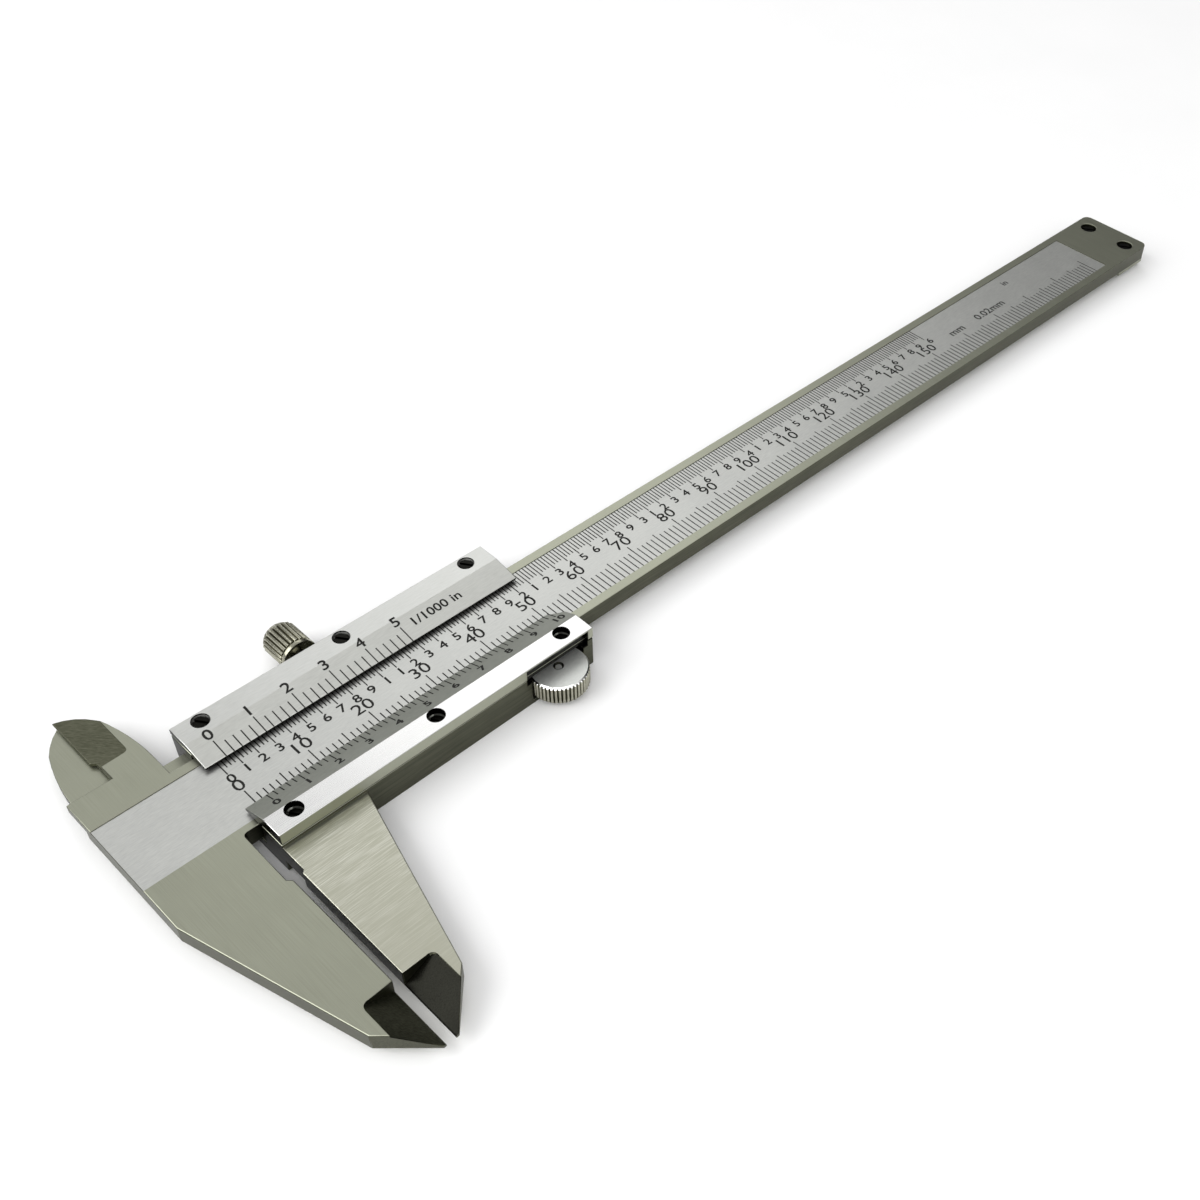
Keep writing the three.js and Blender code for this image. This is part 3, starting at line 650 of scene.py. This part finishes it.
# Grey satin bevel: the same chrome over a bead-blasted slope, painted greyer as the shade of a slope turned
# away from the light.
BEVEL_CHROME_SHADE = steel("bevel_chrome_painted_shade", "#9DA098", "#B3B5AD", 0.45, 1.0, 0.12, 0.002)

# Plate chrome: the beam's satin chrome, newer and a shade paler.
PLATE_CHROME = steel("plate_satin_chrome", "#C6C7C3", "#D6D7D4", 0.4, 1.5, 0.12, 0.002)
# Plate slope: the same plating on the face that leans to the beam, painted a little greyer as shade.
LEANING_CHROME_SHADE = steel("slope_chrome_painted_shade", "#C4C5C0", "#D4D5D0", 0.42, 1.5, 0.12, 0.002)
upper_plate = finished("inch_vernier_plate", "upper_vernier_plate", "slider")
_, normals = face_table(upper_plate.data)
flat = normals[:, 2] > 0.995
slope = (normals[:, 2] > 0.3) & ~flat
# The inch plate's sides, lip and underside take the near-black painted shade.
dress(upper_plate, [NEAR_BLACK_SHADE_STEEL, PLATE_CHROME, LEANING_CHROME_SHADE], np.select([flat, slope], [1, 2], 0))

lower_plate = finished("metric_vernier_plate", "lower_vernier_plate", "slider")
middles, normals = face_table(lower_plate.data)
flat = normals[:, 2] > 0.97
slope = (normals[:, 2] > 0.3) & ~flat
end = (abs(normals[:, 0]) > 0.7) | (middles[:, 1] > -12.9)
# The metric plate's ends and inner faces take the near-black painted shade.
dress(
    lower_plate,
    [GROUND_STEEL, POLISHED_BAR, BEVEL_CHROME_SHADE, NEAR_BLACK_SHADE_STEEL],
    np.select([flat, slope, end], [1, 2, 3], 0),
)

# The verniers' zero stands this far right of the datum with the jaws at rest. Then each plate's edge over
# the beam and the fold where its slope meets its flat.
VERNIER_ZERO = 5.0
UPPER_EDGE_Y, UPPER_EDGE_Z = 4.7, 3.7
UPPER_FOLD_Y, UPPER_FOLD_Z = 9.4, 4.6
LOWER_EDGE_Y, LOWER_EDGE_Z = -4.6, 3.7
LOWER_FOLD_Y, LOWER_FOLD_Z = -9.3, 5.7


def upper_height(y):
    """The inch plate's height at y: straight from its edge to its fold, then level."""
    return np.interp(y, [UPPER_EDGE_Y, UPPER_FOLD_Y], [UPPER_EDGE_Z, UPPER_FOLD_Z])


def lower_height(y):
    """The metric plate's height at y: straight from its fold down to its edge."""
    return np.interp(y, [LOWER_FOLD_Y, LOWER_EDGE_Y], [LOWER_FOLD_Z, LOWER_EDGE_Z])


# A line starts this far inside the plate's edge. The 25 inch divisions cover 1.225 in, and the 50 metric
# ones 49 mm.
INSET = 0.03
INCH_DIVISION = 1.225 * INCH / 25
METRIC_DIVISION = 49 / 50

step = np.arange(0, 26)
end = np.where(step % 5 == 0, 7.75, 6.95)
scored(
    "inch_vernier_lines",
    VERNIER_ZERO + step * INCH_DIVISION,
    UPPER_EDGE_Y + INSET,
    end,
    upper_height,
    "slider",
)

step = np.arange(0, 51)
end = np.where(step % 5 == 0, -6.6, -6.1)
scored(
    "metric_vernier_lines",
    VERNIER_ZERO + step * METRIC_DIVISION,
    LOWER_EDGE_Y - INSET,
    end,
    lower_height,
    "slider",
)

FIGURE_Y, UNIT_Y = 9.0, 7.5
figure_z, unit_z = upper_height([FIGURE_Y, UNIT_Y])
lettered(
    "inch_vernier_figures",
    [(str(n), 1.75, VERNIER_ZERO + 5 * n * INCH_DIVISION, FIGURE_Y, figure_z) for n in range(6)]
    + [("1/1000 in", 1.5, 42.6, UNIT_Y, unit_z)],
    "slider",
    gain=0.035,
    tilt=math.atan2(UPPER_FOLD_Z - UPPER_EDGE_Z, UPPER_FOLD_Y - UPPER_EDGE_Y),
)

FIGURE_Y = -7.45
figure_z = lower_height(FIGURE_Y)
lettered(
    "metric_vernier_figures",
    [(str(n), 1.35, VERNIER_ZERO + 5 * n * METRIC_DIVISION, FIGURE_Y, figure_z) for n in range(11)],
    "slider",
    gain=0.06,
    tilt=-math.atan2(LOWER_FOLD_Z - LOWER_EDGE_Z, LOWER_EDGE_Y - LOWER_FOLD_Y),
)

# ---- Screws ----
# Small slotted screws of blackened steel, set below the plates' faces in round counterbores.

# Blackened steel: oxide over a turned head, nearly black with a soft shine.
BLACKENED = steel("blackened_steel", "#0D0D0B", "#22221F", 0.34, 0.6, 0.1, 0.004)

# Half the slot's width, the run of its sides and its depth; then the head's height, and the rounding of
# its rim: how far in and how far down.
SLOT = 0.22
SLOT_SLOPE = 0.05
SLOT_DEPTH = 0.35
SLOT_TURN = math.radians(35)
HEAD = 0.8
RIM = 0.12
RIM_DROP = 0.06


def wrapped(rows, columns):
    """The quads of a grid of rows by columns whose last column meets its first."""
    row, column = np.meshgrid(np.arange(rows - 1), np.arange(columns), indexing="ij")
    after = (column + 1) % columns
    here, below = row * columns, (row + 1) * columns
    return np.stack([here + column, here + after, below + after, below + column], axis=-1).reshape(-1, 4)


def slotted_screw(name, node_name, body):
    """A screw in the node's own box: an upright rectangle carried across the slot.

    It is as long as the circle's chord there, twice the square root of R squared less s squared, and its top
    is lower inside the slot and at the rim."""
    low, high = [(np.array(c) - DATUM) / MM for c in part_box(node_name)]
    centre = (low + high) / 2
    radius = (high[0] - low[0]) / 2
    arc = np.sin(np.linspace(-math.pi / 2, math.pi / 2, 15))
    across = np.unique(
        np.concatenate([radius * arc, [-SLOT, -SLOT + SLOT_SLOPE, SLOT - SLOT_SLOPE, SLOT]])
    )
    chord = np.sqrt(np.maximum(radius**2 - across**2, 0))
    in_slot = abs(across) < SLOT - SLOT_SLOPE / 2
    edge = np.clip((radius - abs(across)) / RIM, 0, 1)
    top = high[2] - np.where(in_slot, SLOT_DEPTH, RIM_DROP * (1 - edge))
    bottom = np.full(across.shape, max(low[2], high[2] - HEAD))
    ring = np.stack(
        [
            np.stack([across, -chord, top], -1),
            np.stack([across, chord, top], -1),
            np.stack([across, chord, bottom], -1),
            np.stack([across, -chord, bottom], -1),
        ],
        axis=1,
    )
    along, aside = math.cos(SLOT_TURN), math.sin(SLOT_TURN)
    spin = np.array([[along, aside], [-aside, along]])
    points = ring.reshape(-1, 3)
    points[:, :2] = points[:, :2] @ spin + centre[:2]
    made = shell(name, points, wrapped(len(across), 4), BLACKENED, body)
    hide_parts(node_name)
    return made


def bare(node_name, material):
    """Gives a node that keeps its own shape its finish."""
    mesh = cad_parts[node_name].data
    mesh.materials.clear()
    mesh.materials.append(material)


for number in (1, 2, 3):
    slotted_screw(f"inch_plate_screw_{number}", f"upper_plate_screw_{number}", "slider")
    slotted_screw(f"metric_plate_screw_{number}", f"lower_plate_screw_{number}", "slider")
for number in (1, 2):
    slotted_screw(f"stop_screw_{number}", f"end_stop_screw_{number}", "frame")
    bare(f"gib_screw_{number}", BLACKENED)

# ---- Thumb roller ----
# A turned disc with a straight knurl on its rim and a polished chamfer, nickel plated, on a pin.

# Nickel plate over a knurl: bright crests, warm grey between them.
NICKEL = steel("nickel_plated_knurl", "#8A8877", "#B9B8A9", 0.24, 0.5, 0.15, 0.003)
# Faced steel: fine turning marks, even grey.
FACED = steel("faced_grey_steel", "#DCDEDA", "#EEF0EC", 0.5, 0.4, 0.12, 0.002)
# Polished chamfer: a mirror band that catches the soft box.
BRIGHT = steel("polished_chamfer", "#E4E4E2", "#F6F6F4", 0.18, 1.0, 0.2, 0.001)
# Knurl roots: painted shade darkens the plate in the bottom of each groove.
KNURL_ROOT_SHADE = steel("knurl_roots_painted_shade", "#38372B", "#56543F", 0.45, 0.5, 0.15, 0.003)

# Steps in one tooth of a knurl, and how far in from its crests a face still belongs to it.
TOOTH_STEPS = 6
KNURL_REACH = 0.4


def knurled(name, profile, teeth, depth, middle, upright, body, material):
    """The profile's radius and height carried round an axis.

    Its third number says how far the knurl cuts there: the radius loses the depth times 1 less the size of
    the sine of half the tooth angle, so that crests are round and roots sharp."""
    radius, height, cut = np.asarray(profile, float).T
    angle = np.linspace(0, 2 * math.pi, teeth * TOOTH_STEPS, endpoint=False)
    wave = 1 - abs(np.sin(teeth * angle / 2))
    reach = radius[:, None] - depth * cut[:, None] * wave
    rise = np.broadcast_to(height[:, None], reach.shape)
    across, over = reach * np.cos(angle), reach * np.sin(angle)
    points = np.stack([across, over, rise] if upright else [over, rise, across], axis=-1)
    made = shell(
        name,
        points.reshape(-1, 3) + np.asarray(middle, float),
        wrapped(len(radius), len(angle)),
        material,
        body,
    )
    made.data.polygons.foreach_set("use_smooth", np.ones(len(made.data.polygons), bool))
    made.data.set_sharp_from_angle(angle=math.radians(35))
    return made


def in_roots(across, over, teeth, radius):
    """True where a face's middle, across and over from the axis, is out in the knurl and beside a root."""
    share = np.mod(np.arctan2(over, across) * teeth / (2 * math.pi), 1.0)
    outside = np.hypot(across, over) > radius - KNURL_REACH
    return outside & (abs(share - 0.5) > 0.5 - 1 / TOOTH_STEPS)


low, high = [(np.array(c) - DATUM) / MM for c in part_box("thumb_roller")]
middle = (low + high) / 2
radius = (high[0] - low[0]) / 2
half = (high[2] - low[2]) / 2
PIN_HOLE = 0.8
ROLLER_TEETH = 46
ROLLER_CUT = 0.36
# From the pin's hole over the front face, its chamfer, a groove and the knurl, to the back face.
roller = knurled(
    "knurled_thumb_roller",
    [
        (PIN_HOLE, half, 0),
        (radius - 0.3, half, 0),
        (radius - 0.12, half - 0.16, 0),
        (radius - 0.25, half - 0.28, 0),
        (radius, half - 0.42, 1),
        (radius, -half + 0.35, 1),
        (radius - 0.3, -half, 0),
        (PIN_HOLE, -half, 0),
        (PIN_HOLE, half, 0),
    ],
    ROLLER_TEETH,
    ROLLER_CUT,
    middle,
    upright=True,
    body="roller",
    material=NICKEL,
)
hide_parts("thumb_roller")
middles, normals = face_table(roller.data)
from_axis = middles - middle
flat = normals[:, 2] > 0.95
chamfer = (normals[:, 2] > 0.4) & ~flat
knurl = abs(normals[:, 2]) < 0.2
roots = knurl & in_roots(from_axis[:, 0], from_axis[:, 1], ROLLER_TEETH, radius)
# The knurl's roots take the painted shade.
dress(roller, [FACED, BRIGHT, KNURL_ROOT_SHADE], np.select([flat, chamfer, roots], [1, 2, 3], 0))

# ---- Lock screw ----
# A turned thumb screw with a straight knurl, a plain collar and a thin shank that enters the slider.

low, high = [(np.array(c) - DATUM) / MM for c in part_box("lock_screw")]
middle = (low + high) / 2
radius = (high[0] - low[0]) / 2
SHANK = 1.1
HEAD_FOOT = 15.3
LOCK_TEETH = 22
LOCK_CUT = 0.34
foot = HEAD_FOOT - middle[1]
tip = high[1] - middle[1]
# From the shank's end to the hollow foot of the head, its collar, a groove, the knurl and the top.
lock = knurled(
    "knurled_lock_screw",
    [
        (0, low[1] - middle[1], 0),
        (SHANK, low[1] - middle[1], 0),
        (SHANK, foot + 0.8, 0),
        (radius - 0.5, foot + 0.8, 0),
        (radius - 0.5, foot, 0),
        (radius - 0.05, foot, 0),
        (radius, foot + 0.1, 0),
        (radius, foot + 0.55, 0),
        (radius - 0.3, foot + 0.57, 0),
        (radius - 0.3, foot + 0.83, 0),
        (radius, foot + 0.9, 1),
        (radius, tip - 0.75, 1),
        (radius - 0.55, tip, 0),
        (0, tip, 0),
    ],
    LOCK_TEETH,
    LOCK_CUT,
    middle,
    upright=False,
    body="clamp",
    material=NICKEL,
)
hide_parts("lock_screw")
middles, normals = face_table(lock.data)
from_axis = middles - middle
knurl = (abs(normals[:, 1]) < 0.5) & (from_axis[:, 1] > foot + 0.9)
roots = knurl & in_roots(from_axis[:, 2], from_axis[:, 0], LOCK_TEETH, radius)
# The knurl's roots take the painted shade.
dress(lock, [KNURL_ROOT_SHADE], roots)

# ---- Gib, pins, rivets, end stop and depth blade ----
# A bronze strip in the slider's upper wall takes up its play. The blade is a flat of drawn steel,
# riveted to the slider, that runs in the beam's groove; a small plate stops it at the far end.

# Phosphor bronze: rolled strip, warm brown with fine lines along it.
BRONZE = steel("phosphor_bronze", "#8C6A3C", "#B98F5A", 0.36, 8.0, 0.15, 0.003)
# Drawn steel flat: long fine lines.
DRAWN = steel("drawn_steel_flat", "#9FA098", "#BCBDB6", 0.32, 20.0, 0.12, 0.002)
bare("gib_strip", BRONZE)
bare("roller_pin", FACED)
bare("depth_blade", DRAWN)
bare("blade_rivet_1", FACED)
bare("blade_rivet_2", FACED)
bare("end_stop", GROUND_STEEL)
